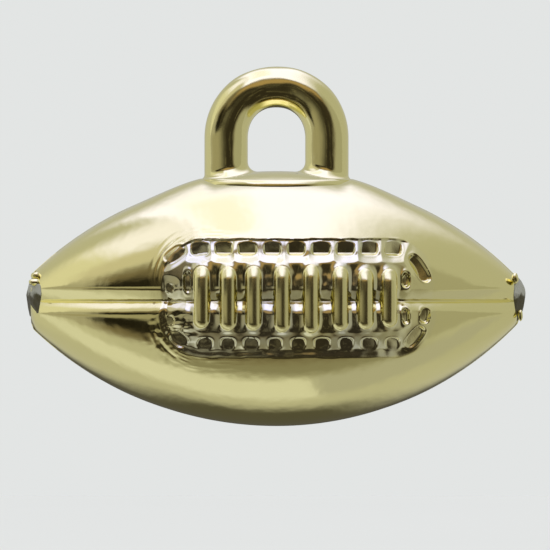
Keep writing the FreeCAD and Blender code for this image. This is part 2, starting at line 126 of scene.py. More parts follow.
class StitchSettings(bpy.types.PropertyGroup):
    """The chain of stitches round the laces."""

    rim_width: length("Rim width", "Half the width of a stitch's raised rim", 0.075)
    rim_rise: length("Rim rise", "Height of a stitch's rim above the chain", 0.02)
    slot_depth: length("Slot depth", "Depth of the slots beside the laces", 0.26)
    bank_length: length("Bank length", "From a stitch's rim out to the plain surface", 0.52)
    sunk_middle: length("Chain's depth", "How deep the chain lies along its own line", 0.13)
    sunk_inner: length("Chain's inner depth", "How deep the rims lie on the side of the laces", 0.17)
    lower_slope: share_of("Lower slope", "Outward fall of the ground at the lower row", 0.20)


class MarkSettings(bpy.types.PropertyGroup):
    """The small marks and the unevenness of the relief."""

    wander: length("Wander", "How far the banks of the panel stray from their line", 0.05)
    panel: length("Panel unevenness", "Height of the slight waves in the panel", 0.022)
    bed: length("Bed unevenness", "Height of the waves in the floor between the bars", 0.03)
    tool: length("Tool marks", "Height of the tool's marks round the panel's left end", 0.026)
    smear: length("Smear", "Height of the smeared patch at the panel's lower left", 0.07)


class LoopSettings(bpy.types.PropertyGroup):
    """The hanging loop and its saddle."""

    arch_square: FloatProperty(
        name="Arch squareness", description="Exponent of the arch: 2 is a circle", default=2.1,
        subtype="UNSIGNED",
    )
    top_section: length("Top section", "Radius of the loop's section at its top", 1.56)
    flare: length("Flare", "Rounding where a leg meets the saddle", 0.8)
    outer_flare: length("Outer flare", "Rounding on a leg's outer side", 0.3)
    unevenness: length("Unevenness", "Height of the slight waves in the loop's surface", 0.018)
    saddle_rise: length("Saddle rise", "Height of the saddle above the ball", 0.34)
    saddle_half: length("Saddle half length", "Half the saddle's length along the ball", 5.76)
    saddle_deep: length("Saddle half depth", "Half the saddle's size from front to back", 4.1)
    saddle_edge: share_of("Saddle edge", "Share of the saddle that its rounded edge takes", 0.07)


class FinishSettings(bpy.types.PropertyGroup):
    """Colours of the finishes, with the painted shade on the gates' resin."""

    gold: colour("Gold", "The plating", (0.93, 0.865, 0.405))
    worn: colour("Worn gold", "The plating where it lies thin, in the relief", (0.80, 0.78, 0.54))
    speck: colour("Speck", "Small brown specks under the plating", (0.30, 0.22, 0.10))
    # Painted shade: the gates' resin is painted dark on its lower part, as if in shade, and in the lit grey
    # tone below on its upper part.
    resin_painted_shade: colour("Dark resin", "The resin where it lies deep", (0.050, 0.042, 0.012))
    resin: colour("Resin", "The bare moulding resin", (0.34, 0.34, 0.27))


class StudioSettings(bpy.types.PropertyGroup):
    """The camera, floor and backdrop."""

    distance: FloatProperty(name="Distance", description="Camera to object", default=0.6, unit="LENGTH")
    view_width: length("View width", "Width of the view at the object", 42.05)
    view_x: length("View centre, along", "Where the view's centre is along the ball", -0.115)
    view_z: length("View centre, up", "Where the view's centre is, from the eye", -10.45)
    floor_drop: length("Floor drop", "The view's centre to the floor", 45.0)
    backdrop: colour("Backdrop", "Colour of the backdrop", (0.766, 0.783, 0.776))
    seed: IntProperty(
        name="Seed", description="Seed of the irregularities", default=7, min=1, subtype="UNSIGNED"
    )


SETTINGS = {
    "charm_ball": BallSettings,
    "charm_laces": LaceSettings,
    "charm_stitches": StitchSettings,
    "charm_marks": MarkSettings,
    "charm_loop": LoopSettings,
    "charm_finish": FinishSettings,
    "charm_studio": StudioSettings,
}


# ---- Small helpers ----


def smooth(value, low, high):
    """0 below low, 1 above high, and an even curve between."""
    share = np.clip((value - low) / (high - low), 0, 1)
    return share * share * (3 - 2 * share)


def fade(value, span):
    """0 below a span that is given in millimetres, 1 above it, and an even curve between."""
    return smooth(value, span[0] * MM, span[1] * MM)


def hill(value, centre, width):
    """A bell of height 1 at centre."""
    return np.exp(-(((value - centre) / width) ** 2))


def stations(low, fine_low, fine_high, high, step, widest):
    """Places from low to high: step apart between the fine limits, and ever wider apart outside
    them, up to widest times the step."""
    middle = np.linspace(fine_low, fine_high, max(2, round((fine_high - fine_low) / step) + 1))

    def spread(start, end):
        gaps, reach, gap = [], 0.0, step
        while reach < abs(end - start):
            gap = min(gap * GAP_GROWTH, step * widest)
            reach += gap
            gaps.append(gap)
        places = np.cumsum(gaps) * abs(end - start) / reach
        return start + np.sign(end - start) * places

    return np.concatenate([spread(fine_low, low)[::-1], middle, spread(fine_high, high)])


def ball_profile(x, ball, inset=0.0):
    """The ball's radius at x, and its slope there. Inset moves the surface inwards."""
    arc = np.where(x < 0, ball.arc_left, ball.arc_right)
    root = np.sqrt(np.maximum((arc - inset) ** 2 - x * x, 1e-12))
    return root - (arc - BALL_RADIUS), -x / root


def end_rounding(x, ball):
    """How far the rounding of the end faces takes the surface in at x."""
    left = np.minimum(x + TIP_LEFT, TIP_RIGHT - x)
    share = np.clip(1 - left / ball.end_round, 0, 1)
    return ball.end_round * (1 - np.sqrt(1 - share**2))


def piece_from_mesh(name, mesh, material):
    """Puts a mesh in the scene as a piece of the charm that rides on its body."""
    piece = bpy.data.objects.new(name, mesh)
    bpy.context.scene.collection.objects.link(piece)
    mesh.materials.append(material)
    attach(piece, BODY)
    return piece


def mesh_from_arrays(name, points, faces, sharp_angle=None):
    """A smooth-shaded mesh from an array of points and a list of faces."""
    mesh = bpy.data.meshes.new(name)
    mesh.from_pydata(points.tolist(), [], faces)
    mesh.validate()
    mesh.polygons.foreach_set("use_smooth", [True] * len(mesh.polygons))
    if sharp_angle is not None:
        mesh.set_sharp_from_angle(angle=sharp_angle)
    mesh.update()
    return mesh


def grid_faces(rows, columns, start=0, flip=False, wrap=False):
    """Quads of a grid of points stored row by row."""
    wide = columns if wrap else columns - 1
    row, column = np.meshgrid(np.arange(rows - 1), np.arange(wide), indexing="ij")
    a = start + row * columns + column
    b = start + row * columns + (column + 1) % columns
    c = b + columns
    d = a + columns
    order = (a, d, c, b) if flip else (a, b, c, d)
    return np.stack([part.ravel() for part in order], axis=1).tolist()


def value_noise(x, y, seed):
    """Smooth noise between -1 and 1 over a plane, with features one unit wide."""
    table = np.random.default_rng(seed).uniform(-1, 1, (256, 256))
    column, row = np.floor(x).astype(int), np.floor(y).astype(int)
    across, down = x - column, y - row
    across = across * across * (3 - 2 * across)
    down = down * down * (3 - 2 * down)

    def corner(right, below):
        return table[(row + below) % 256, (column + right) % 256]

    top = corner(0, 0) * (1 - across) + corner(1, 0) * across
    bottom = corner(0, 1) * (1 - across) + corner(1, 1) * across
    return top * (1 - down) + bottom * down


def waves(x, z, size_x, size_z, seed):
    """The same noise over the surface, with features of sizes given in millimetres."""
    return value_noise(x / (size_x * MM), z / (size_z * MM), seed)


# ---- Relief of the front shell ----

# The lace bars from left to right: place along the ball, top and foot. All tables are in millimetres.
LACE_PLACES = (-5.65, -3.65, -1.73, 0.42, 2.61, 4.81, 6.71, 8.51)
LACE_TOPS = (2.71, 2.64, 2.71, 2.71, 2.79, 2.64, 2.48, 2.48)
LACE_FEET = (-2.03, -2.18, -2.18, -2.33, -2.41, -2.18, -2.10, -1.95)
ROWS = (
    # first and last stitch along the row, the row's height, and a stitch's half length and half width
    (-5.85, 8.91, 4.05, 0.74, 0.66),
    (-5.47, 8.83, -3.29, 0.66, 0.54),
)
ROW_COUNT = 9
# Stitches at the two ends: middle along and up, half length, half width and lean in degrees.
END_STITCHES = (
    (-7.72, 3.55, 0.95, 0.50, 36),
    (-8.15, 1.00, 0.42, 0.38, 80),
    (-8.10, -1.50, 0.45, 0.38, 100),
    (-7.40, -2.90, 0.80, 0.55, 140),
    (10.85, 2.50, 1.30, 0.46, -58),
    (11.25, -1.10, 0.66, 0.40, 80),
    (10.50, -2.75, 1.05, 0.46, 52),
)
# Slots inside the chain, beside the laces: middle along and up, and half length.
SIDE_SLOTS = ((-6.72, 1.45, 0.95), (9.80, 1.60, 0.70), (9.80, -1.15, 0.70))
SLOT_HALF_WIDTH = 0.33
# The hollow inside a stitch, across the chain from the laces' side outwards: distance and height.
# The upper row's hollows are a vee with a long outer wall, and the lower row's have a flat floor.
UPPER_PIT = ((-0.62, -0.14), (-0.25, -0.42), (0.66, -0.02))
LOWER_PIT = ((-0.52, -0.14), (-0.44, -0.38), (0.22, -0.30), (0.50, -0.28))
CHAIN_LEFT, CHAIN_RIGHT, CHAIN_CORNER = -7.95, 11.2, 2.5
CHAIN_EDGE_TOP, CHAIN_EDGE_BOTTOM = 0.68, 0.92
RIM_SQUARENESS = 2.8
CREST_ROUNDNESS = 1.55
LOWER_BANK_STEEPER = 1.08
# Where the sunk ground comes up to the plain ball again at the right end, and the plating with it.
GROUND_FADES, WEAR_FADES, WEAR_FADED = (9.4, 11.2), (8.0, 11.0), 0.8
# Feature sizes along and up in millimetres, and the seed, of each kind of unevenness.
WANDER_WAVES, PANEL_WAVES, BED_WAVES = (0.7, 2.0, 15), (0.55, 0.55, 11), (0.42, 0.5, 14)
TOOL_LEAN, TOOL_WAVES = 0.6, (1.1, 0.12, 12)
SMEAR_PLACE, SMEAR_RADIUS, SMEAR_LEAN, SMEAR_WAVES = (-7.7, -2.3), 1.5, 0.4, (0.4, 0.3, 13)


def seam_groove(x, arc, ball):
    """Depth of the panel seam at a distance along its bank. The lower bank has a rounder shoulder."""
    lower = arc < 0
    turn = np.where(lower, ball.seam_turn_low, ball.seam_turn) / 2
    slope = np.where(lower, ball.seam_slope * LOWER_BANK_STEEPER, ball.seam_slope)
    reach = ball.seam_half * ball.seam_slope / slope
    out = np.abs(arc)
    share = np.clip((out - (reach - turn)) / (2 * turn), 0, 1)
    climbed = np.minimum(out, reach - turn) + 2 * turn * (share - share**3 + share**4 / 2)
    return -slope * (reach - climbed)


def lace_bars(x, z, laces):
    """The lace bars: 0 beside them and up to 1 on their crests, and the distance from the nearest."""
    height, away = np.zeros_like(x), np.ones_like(x)
    half = laces.half_width
    for along, top, foot in zip(LACE_PLACES, LACE_TOPS, LACE_FEET):
        low, high = foot * MM + half, top * MM - half
        off = np.hypot(x - along * MM, z - np.clip(z, low, high)) / half
        ramp = smooth(z, high + half * 0.4 - laces.ramp_length, high + half * 0.4)
        crest = 1 - ramp * laces.ramp_drop / LACE_RISE
        height = np.maximum(height, crest * np.sqrt(np.clip(1 - off**CREST_ROUNDNESS, 0, 1)))
        away = np.minimum(away, (off - 1) * half)
    return height, away


def stitch_rim(x, z, along, up, half_long, half_wide, lean):
    """Distance from a stitch's rim line, negative inside it."""
    turn = math.radians(lean)
    right, rise = x - along * MM, z - up * MM
    u = (right * math.cos(turn) + rise * math.sin(turn)) / (half_long * MM)
    v = (rise * math.cos(turn) - right * math.sin(turn)) / (half_wide * MM)
    power = RIM_SQUARENESS
    out = (np.abs(u) ** power + np.abs(v) ** power) ** (1 / power)
    return (out - 1) * math.sqrt(half_long * half_wide) * MM


def chain_stitches(random):
    """Every stitch of the chain: middle along and up, half length, half width and lean."""
    places = list(END_STITCHES)
    for first, last, up, half_long, half_wide in ROWS:
        for along in np.linspace(first, last, ROW_COUNT):
            shift, scale, lean = random.uniform(-1, 1, 3)
            place = (along + 0.05 * shift, up, half_long * (1 + 0.06 * scale), half_wide, 4 * lean)
            places.append(place)
    return places


def nearest_rim(x, z, places):
    """Distance from the nearest rim line of several stitches, negative inside it."""
    out = np.full_like(x, 1.0)
    for place in places:
        out = np.minimum(out, stitch_rim(x, z, *place))
    return out


def chain_distance(x, z):
    """Distance from the chain's line, positive outside it."""
    high, low = ROWS[0][2], ROWS[1][2]
    corner = CHAIN_CORNER * MM
    half_x = (CHAIN_RIGHT - CHAIN_LEFT) / 2 * MM - corner
    half_z = (high - low) / 2 * MM - corner
    off_x = np.abs(x - (CHAIN_LEFT + CHAIN_RIGHT) / 2 * MM) - half_x
    off_z = np.abs(z - (low + high) / 2 * MM) - half_z
    outside = np.hypot(np.maximum(off_x, 0), np.maximum(off_z, 0))
    return outside + np.minimum(np.maximum(off_x, off_z), 0) - corner


def chain_level(distance, upper, stitches):
    """Depth of the ground at the upper and the lower row, and where the chain's outer edge is. The
    ground comes up at that edge in a sharp step above and a wider slope below."""
    lower = 1 - upper
    edge = (CHAIN_EDGE_BOTTOM + (CHAIN_EDGE_TOP - CHAIN_EDGE_BOTTOM) * upper) * MM
    outer = 1 - smooth(distance, edge - (0.10 + 0.38 * lower) * MM, edge + 0.1 * lower * MM)
    inner = fade(distance, (-0.65, -0.10))
    high = stitches.sunk_inner + (stitches.sunk_middle - stitches.sunk_inner) * inner
    low = stitches.lower_slope * (distance + 0.95 * MM) * fade(distance, (-1.1, -0.8))
    return -high * outer, -low * outer, edge


def hollow(distance, upper):
    """Height of the surface inside a stitch, above the plain ball."""
    high, low = (np.interp(distance / MM, *zip(*shape)) * MM for shape in (UPPER_PIT, LOWER_PIT))
    return low + (high - low) * upper


def tool_marks(x, z, distance, edge):
    """The marks of the tool that cut round the panel's left end, between -1 and 1."""
    band = hill(distance, edge + 0.45 * MM, 0.55 * MM) * (1 - fade(x, (-7.5, -1.5)))
    return band * fade(np.abs(z), (1.2, 2.2)) * waves(x - TOOL_LEAN * z, distance, *TOOL_WAVES)


def smeared_patch(x, z):
    """The smeared patch at the panel's lower left, between -1 and 1."""
    along, up = (part * MM for part in SMEAR_PLACE)
    patch = hill(np.hypot(x - along, z - up), 0, SMEAR_RADIUS * MM)
    return patch * waves(x - SMEAR_LEAN * z, z, *SMEAR_WAVES)


def front_relief(x, z, arc, scene):
    """Height of the front shell's relief above the plain ball, and its plating: 1 where it lies
    thin, 0 where it is plain and -1 on the laces."""
    laces, stitches, marks = scene.charm_laces, scene.charm_stitches, scene.charm_marks
    random = np.random.default_rng(scene.charm_studio.seed)
    distance, upper = chain_distance(x, z), fade(z, (-2.0, 2.5))
    wander = marks.wander * waves(x, z, *WANDER_WAVES)
    high, low, edge = chain_level(distance + wander, upper, stitches)
    chain = nearest_rim(x, z, chain_stitches(random))
    slots = nearest_rim(x, z, [(along, up, half, SLOT_HALF_WIDTH, 90) for along, up, half in SIDE_SLOTS])

    # the sunk ground of the panel, the seam that crosses it and the bed of the laces
    bank = 1 - np.clip(chain / stitches.bank_length, 0, 1)
    ground = (low + (high * bank - low) * upper) * (1 - fade(x, GROUND_FADES))
    bed = 1 - fade(distance, (-2.1, -1.1))
    base = seam_groove(x, arc, scene.charm_ball) + ground - laces.bed_depth * bed

    # the hollows, the slots and their rims
    inside = 1 - fade(chain, (-0.15, -0.02))
    height = base + (hollow(distance, upper) - base) * inside
    height = height - stitches.slot_depth * (1 - fade(slots, (-0.2, -0.04)))
    rims = np.maximum(hill(chain, 0, stitches.rim_width), 2 * hill(slots, 0, stitches.rim_width * 1.3))
    height = height + stitches.rim_rise * rims

    # slight unevenness in the panel, the marks of the tool and the smeared patch at its left end
    panel = 1 - smooth(distance, edge - 0.1 * MM, edge + 0.1 * MM)
    panel = panel * (1 - WEAR_FADED * fade(x, WEAR_FADES))
    height = height + marks.panel * panel * waves(x, z, *PANEL_WAVES)
    height = height + marks.tool * tool_marks(x, z, distance, edge)
    height = height + marks.smear * smeared_patch(x, z) * (1 - inside)

    # the bars, the rounding at their roots and the uneven floor between them
    bars, away = lace_bars(x, z, laces)
    root = 1 - np.clip(away / laces.root_width, 0, 1)
    uneven = marks.bed * bed * (1 - root) * waves(x + 0.126 * MM, z, *BED_WAVES)
    height = height + laces.root_rise * root**2 + uneven
    raised = LACE_RISE * 0.98 * bars - laces.bed_depth * (1 - smooth(bars, 0, 0.5))
    height = np.where(bars > 0, np.maximum(height, raised), height)
    on_bar = smooth(bars, 0, 0.3)
    return height, panel * (1 - on_bar) - on_bar


# ---- The half shells ----

INNER_COLUMNS = 13
GAP_GROWTH = 1.07
# Stations of each mesh, along the ball in millimetres and round it in radians: where they are close,
# their step there, and the widest gap elsewhere in steps.
FRONT_STATIONS = ((-9.2, 12.6, 0.068, 6.0), (-0.56, 0.62, 0.0071, 6.0))
BACK_STATIONS = ((-0.1, 0.1, 0.1, 2.0), (-0.12, 0.12, 0.008, 2.5))


def half_shell(name, side, x_places, angles, ball, relief):
    """One hollow half of the ball as a closed mesh. Side is -1 for the front and 1 for the back. The
    relief gives the height above the plain ball and the plating's value."""
    x, angle = np.meshgrid(x_places, angles, indexing="ij")
    radius, slope = ball_profile(x, ball)
    height, worn = relief(x, radius * np.sin(angle), radius * angle)
    height = height + shell_edges(x, angle, ball)
    lean = 1 / np.sqrt(1 + slope**2)
    radial = radius + height * lean - end_rounding(x, ball)
    along = x - height * slope * lean
    outer = np.stack([along, side * radial * np.cos(angle), radial * np.sin(angle)], axis=-1)
    outer[0, :, 0], outer[-1, :, 0] = x_places[0], x_places[-1]
    rows, columns = x.shape
    inner_columns = INNER_COLUMNS
    share = (x_places - x_places[0]) / (x_places[-1] - x_places[0])
    inner_x = (x_places[0] + ball.end_wall) + share * (x_places[-1] - x_places[0] - 2 * ball.end_wall)
    inner_angle = np.linspace(-math.pi / 2, math.pi / 2, inner_columns)
    ix, ia = np.meshgrid(inner_x, inner_angle, indexing="ij")
    inner_radius, _ = ball_profile(ix, ball, ball.wall)
    inner = np.stack([ix, side * inner_radius * np.cos(ia), inner_radius * np.sin(ia)], axis=-1)
    centres = [(x_places[0], 0, 0), (inner_x[0], 0, 0), (x_places[-1], 0, 0), (inner_x[-1], 0, 0)]
    points = np.concatenate([outer.reshape(-1, 3), inner.reshape(-1, 3), np.array(centres)])
    points[:, 2] += BALL_Z
    inner_start = rows * columns
    centres_start = inner_start + rows * inner_columns
    forward = side < 0
    faces = grid_faces(rows, columns, 0, flip=forward)
    faces += grid_faces(rows, inner_columns, inner_start, flip=not forward)

    def add(*corners):
        faces.append(list(corners) if forward else list(corners)[::-1])

    # the two long rims, between the outer and the inner surface
    for row in range(rows - 1):
        for outer_edge, inner_edge, up in ((0, 0, False), (columns - 1, inner_columns - 1, True)):
            a, b = row * columns + outer_edge, (row + 1) * columns + outer_edge
            c = inner_start + (row + 1) * inner_columns + inner_edge
            d = inner_start + row * inner_columns + inner_edge
            add(*((a, b, c, d) if up else (d, c, b, a)))
    # the end faces, outside and inside, and the rims' short stretches between them
    for row, end, inner_end, first in ((0, 0, 1, True), (rows - 1, 2, 3, False)):
        outer_row, inner_row = row * columns, inner_start + row * inner_columns
        tip, root = centres_start + end, centres_start + inner_end
        for column in range(columns - 1):
            a, b = outer_row + column, outer_row + column + 1
            add(*((a, b, tip) if first else (b, a, tip)))
        for column in range(inner_columns - 1):
            a, b = inner_row + column, inner_row + column + 1
            add(*((b, a, root) if first else (a, b, root)))
        low = (outer_row, tip, root, inner_row)
        high = (tip, outer_row + columns - 1, inner_row + inner_columns - 1, root)
        for quad in (low, high):
            add(*(quad if first else quad[::-1]))
    mesh = mesh_from_arrays(name, points, faces, sharp_angle=math.radians(60))
    wear = mesh.attributes.new("worn", "FLOAT", "POINT")
    values = np.zeros(len(points), np.float32)
    values[: rows * columns] = worn.ravel()
    wear.data.foreach_set("value", values)
    return mesh


def shell_piece(name, side, places, relief, context):
    """Builds one half shell from its stations and its relief."""
    (low, high, step, widest), around = places
    x_places = stations(-TIP_LEFT, low * MM, high * MM, TIP_RIGHT, step * MM, widest)
    low, high, step, widest = around
    angles = stations(-math.pi / 2, low, high, math.pi / 2, step, widest)
    mesh = half_shell(name, side, x_places, angles, context.scene.charm_ball, relief)
    return piece_from_mesh(name, mesh, gold_plating())


def shell_edges(x, angle, ball):
    """The shoulders beside the loop, and a slight bead along the parting line towards the tips."""
    from_rim = BALL_RADIUS * (math.pi / 2 - np.abs(angle))
    away = fade(np.abs(x), (7, 12))
    bead = ball.bead_rise * away * hill(from_rim, 0.16 * MM, 0.10 * MM)
    along = fade(np.abs(x), (4.6, 5.8)) * (1 - smooth(np.abs(x), 5.2 * MM, ball.shoulder_reach))
    shoulder = ball.shoulder_rise * along * (1 - fade(from_rim, (0.3, 5)))
    return bead + np.where(angle > 0, shoulder, 0)


# ---- Materials ----

# Noise scales, per metre.
CLOUD_SCALE, HAZE_SCALE, RIPPLE_SCALE, GRAIN_SCALE, RESIN_SCALE = 260, 420, 900, 9000, 1600
SPECK_SCALE, SPECK_SHARE, SPECK_STRENGTH, SPECK_RADIUS = 650.0, 0.035, 0.55, 0.11
GRAIN_SHARE = 0.05
# Roughness of the plating at its brightest and its haziest, what the laces add, and the resin's.
PLATING_ROUGHNESS, LACES_ROUGHER, RESIN_ROUGHNESS = (0.075, 0.135), 0.13, (0.35, 0.5)
# Bump heights in millimetres, and how high above the ball's middle the resin turns from its painted shade
# to its painted lit grey.
PLATING_BUMP, RESIN_BUMP, RESIN_SHADE_TO_LIGHT = 0.02, 0.12, (1.05, 1.5)
FLOOR_TONES = ((0.745, 0.761, 0.681), (0.757, 0.773, 0.692))


def node_group(name, inputs, outputs):
    """A shader node group with named float and colour sockets."""
    group = bpy.data.node_groups.new(name, "ShaderNodeTree")
    for label, kind, default in inputs:
        socket = group.interface.new_socket(name=label, in_out="INPUT", socket_type=kind)
        socket.default_value = default
    for label, kind in outputs:
        group.interface.new_socket(name=label, in_out="OUTPUT", socket_type=kind)
    return group, group.nodes.new("NodeGroupInput"), group.nodes.new("NodeGroupOutput")


def math_node(tree, operation, *values, clamp=False):
    """A Math node fed by sockets or plain numbers. Returns its output."""
    node = tree.nodes.new("ShaderNodeMath")
    node.operation = operation
    node.use_clamp = clamp
    for socket, value in zip(node.inputs, values):
        if isinstance(value, bpy.types.NodeSocket):
            tree.links.new(value, socket)
        else:
            socket.default_value = value
    return node.outputs[0]


def mix_colour(tree, share, first, second):
    """Mixes two colours, each a socket or a plain colour. Returns the result."""
    node = tree.nodes.new("ShaderNodeMix")
    node.data_type = "RGBA"
    for index, value in ((0, share), (6, first), (7, second)):
        if isinstance(value, bpy.types.NodeSocket):
            tree.links.new(value, node.inputs[index])
        elif index == 0:
            node.inputs[index].default_value = value
        else:
            node.inputs[index].default_value = (*value[:3], 1)
    return node.outputs[2]


def noise(tree, coordinates, scale, detail=2.0, roughness=0.5):
    """A noise texture's value output."""
    node = tree.nodes.new("ShaderNodeTexNoise")
    tree.links.new(coordinates, node.inputs["Vector"])
    node.inputs["Scale"].default_value = scale
    node.inputs["Detail"].default_value = detail
    node.inputs["Roughness"].default_value = roughness
    return node.outputs["Fac"]


def place_on(tree, kind="Object"):
    """The place on the surface, or the direction in the surround, as coordinates."""
    return tree.nodes.new("ShaderNodeTexCoord").outputs[kind]


def remap(tree, value, low, high, new_low=0.0, new_high=1.0):
    """Maps a value smoothly from one range to another."""
    node = tree.nodes.new("ShaderNodeMapRange")
    node.interpolation_type = "SMOOTHSTEP"
    tree.links.new(value, node.inputs["Value"])
    labels = ("From Min", "From Max", "To Min", "To Max")
    for label, number in zip(labels, (low, high, new_low, new_high)):
        node.inputs[label].default_value = number
    return node.outputs["Result"]


def orange_peel_group():
    """The slight unevenness of a plated moulding: a long ripple and a fine grain, as a height."""
    group, given, result = node_group(
        "Orange Peel",
        [("Ripple", "NodeSocketFloat", 1.0), ("Grain", "NodeSocketFloat", 1.0)],
        [("Height", "NodeSocketFloat")],
    )
    place = place_on(group)
    ripple = noise(group, place, RIPPLE_SCALE, 1.0)
    grain = noise(group, place, GRAIN_SCALE, 2.0)
    ripple = math_node(group, "MULTIPLY", ripple, given.outputs["Ripple"])
    grain = math_node(group, "MULTIPLY", grain, given.outputs["Grain"])
    grain = math_node(group, "MULTIPLY", grain, GRAIN_SHARE)
    group.links.new(math_node(group, "ADD", ripple, grain), result.inputs["Height"])
    return group


def speck_group():
    """Small scattered specks, as a mask."""
    group, given, result = node_group(
        "Specks",
        [("Scale", "NodeSocketFloat", 700.0), ("Amount", "NodeSocketFloat", 0.06)],
        [("Mask", "NodeSocketFloat")],
    )
    place = place_on(group)
    cells = group.nodes.new("ShaderNodeTexVoronoi")
    group.links.new(place, cells.inputs["Vector"])
    group.links.new(given.outputs["Scale"], cells.inputs["Scale"])
    near = math_node(group, "LESS_THAN", cells.outputs["Distance"], SPECK_RADIUS)
    pick = group.nodes.new("ShaderNodeSeparateColor")
    group.links.new(cells.outputs["Color"], pick.inputs["Color"])
    chosen = math_node(group, "LESS_THAN", pick.outputs["Red"], given.outputs["Amount"])
    group.links.new(math_node(group, "MULTIPLY", near, chosen), result.inputs["Mask"])
    return group


def place_group(tree, name, **values):
    """Places a group that is shared, and built once, in a material with its own values."""
    builders = {"Orange Peel": orange_peel_group, "Specks": speck_group}
    node = tree.nodes.new("ShaderNodeGroup")
    node.node_tree = bpy.data.node_groups.get(name) or builders[name]()
    for label, value in values.items():
        node.inputs[label].default_value = value
    return node


def new_material(name):
    """An empty material with a Principled BSDF. Returns the material, its tree and the shader."""
    material = bpy.data.materials.new(name)
    material.use_nodes = True
    tree = material.node_tree
    return material, tree, tree.nodes["Principled BSDF"]


def peel_bump(tree, shader, height, grain):
    """Gives a shader's surface orange peel of a height in millimetres."""
    peel = place_group(tree, "Orange Peel", Ripple=1.0, Grain=grain)
    bump = tree.nodes.new("ShaderNodeBump")
    bump.inputs["Distance"].default_value = height * MM
    tree.links.new(peel.outputs["Height"], bump.inputs["Height"])
    tree.links.new(bump.outputs["Normal"], shader.inputs["Normal"])


def gold_plating():
    """Vacuum-metallised pale gold: bright, a little uneven, thinner and greyer in the relief."""
    existing = bpy.data.materials.get("gold_plating")
    if existing:
        return existing
    finish = bpy.context.scene.charm_finish
    material, tree, shader = new_material("gold_plating")
    place = place_on(tree)
    worn = tree.nodes.new("ShaderNodeAttribute")
    worn.attribute_name = "worn"
    cloud = remap(tree, noise(tree, place, CLOUD_SCALE, 3.0), 0.35, 0.75)
    thin = math_node(tree, "MULTIPLY", worn.outputs["Fac"], math_node(tree, "ADD", cloud, 0.35), clamp=True)
    tone = mix_colour(tree, thin, finish.gold, finish.worn)
    specks = place_group(tree, "Specks", Scale=SPECK_SCALE, Amount=SPECK_SHARE)
    specks = math_node(tree, "MULTIPLY", specks.outputs["Mask"], SPECK_STRENGTH)
    tone = mix_colour(tree, specks, tone, finish.speck)
    tree.links.new(tone, shader.inputs["Base Color"])
    shader.inputs["Metallic"].default_value = 1.0
    haze = remap(tree, noise(tree, place, HAZE_SCALE, 4.0, 0.6), 0.3, 0.8, *PLATING_ROUGHNESS)
    on_laces = remap(tree, worn.outputs["Fac"], -1.0, 0.0, LACES_ROUGHER, 0.0)
    tree.links.new(math_node(tree, "ADD", haze, on_laces), shader.inputs["Roughness"])
    peel_bump(tree, shader, PLATING_BUMP, 2.0)
    return material


def bare_resin():
    """The bare resin of a broken gate, a little cloudy, with painted shade: dark below as if shaded, and
    lit grey above.
    """
    existing = bpy.data.materials.get("broken_resin")
    if existing:
        return existing
    finish = bpy.context.scene.charm_finish
    material, tree, shader = new_material("broken_resin")
    place = place_on(tree)
    split = tree.nodes.new("ShaderNodeSeparateXYZ")
    tree.links.new(place, split.inputs[0])
    cloud = noise(tree, place, RESIN_SCALE, 4.0, 0.6)
    # painted shade: the lower the resin lies, the darker it is painted, with a cloudy line between the
    # shaded and the lit tone
    height = math_node(tree, "ADD", split.outputs["Z"], math_node(tree, "MULTIPLY", cloud, 1.6 * MM))
    low, high = (BALL_Z + turn * MM for turn in RESIN_SHADE_TO_LIGHT)
    share = remap(tree, height, low, high)
    tree.links.new(mix_colour(tree, share, finish.resin_painted_shade, finish.resin), shader.inputs["Base Color"])
    tree.links.new(remap(tree, share, 0, 1, *RESIN_ROUGHNESS), shader.inputs["Roughness"])
    shader.inputs["Specular IOR Level"].default_value = 0.25
    peel_bump(tree, shader, RESIN_BUMP, 4.0)
    return material


def floor_finish():
    """A plain pale floor. Its tone makes up for the bluish light, so it looks like the backdrop."""
    material, tree, shader = new_material("pale_floor")
    place = place_on(tree)
    cloud = remap(tree, noise(tree, place, 3, 2), 0.3, 0.7)
    tone = mix_colour(tree, cloud, *FLOOR_TONES)
    tree.links.new(tone, shader.inputs["Base Color"])
    shader.inputs["Roughness"].default_value = 0.9
    shader.inputs["Specular IOR Level"].default_value = 0.0
    return material


# ---- Operators, one for each piece ----


class CHARM_OT_front_shell(bpy.types.Operator):
    """Builds the front shell with its seam, laces and stitches"""

    bl_idname = "charm.front_shell"
    bl_label = "Front Shell"

    def execute(self, context):
        def relief(x, z, arc):
            return front_relief(x, z, arc, context.scene)

        piece = shell_piece("front_shell_moulding", -1, FRONT_STATIONS, relief, context)
        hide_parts("front_shell")
        return {"FINISHED"}


class CHARM_OT_back_shell(bpy.types.Operator):
    """Builds the plain back shell with its seam"""

    bl_idname = "charm.back_shell"
    bl_label = "Back Shell"

    def execute(self, context):
        def relief(x, z, arc):
            return seam_groove(x, arc, context.scene.charm_ball), np.zeros_like(x)

        piece = shell_piece("back_shell_moulding", 1, BACK_STATIONS, relief, context)
        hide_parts("back_shell")
        return {"FINISHED"}


# Points round the loop's section and the saddle, and the rings along each stretch of the loop: a
# leg's flare, its straight and the arch.
LOOP_POINTS, SADDLE_POINTS = 128, 180
FLARE_RINGS, LEG_RINGS, ARCH_RINGS = 13, 20, 121
# How deep the legs go into the saddle and the saddle into the ball, in millimetres.
LEG_SINKS, SADDLE_SINKS = 0.15, 0.12


def saddle_height(x, y, ball, rise):
    """Height of the ball's top surface at x and y, raised by rise, from the eye."""
    radius, _ = ball_profile(x, ball)
    return np.sqrt(np.maximum((radius + rise) ** 2 - y * y, 0)) + BALL_Z


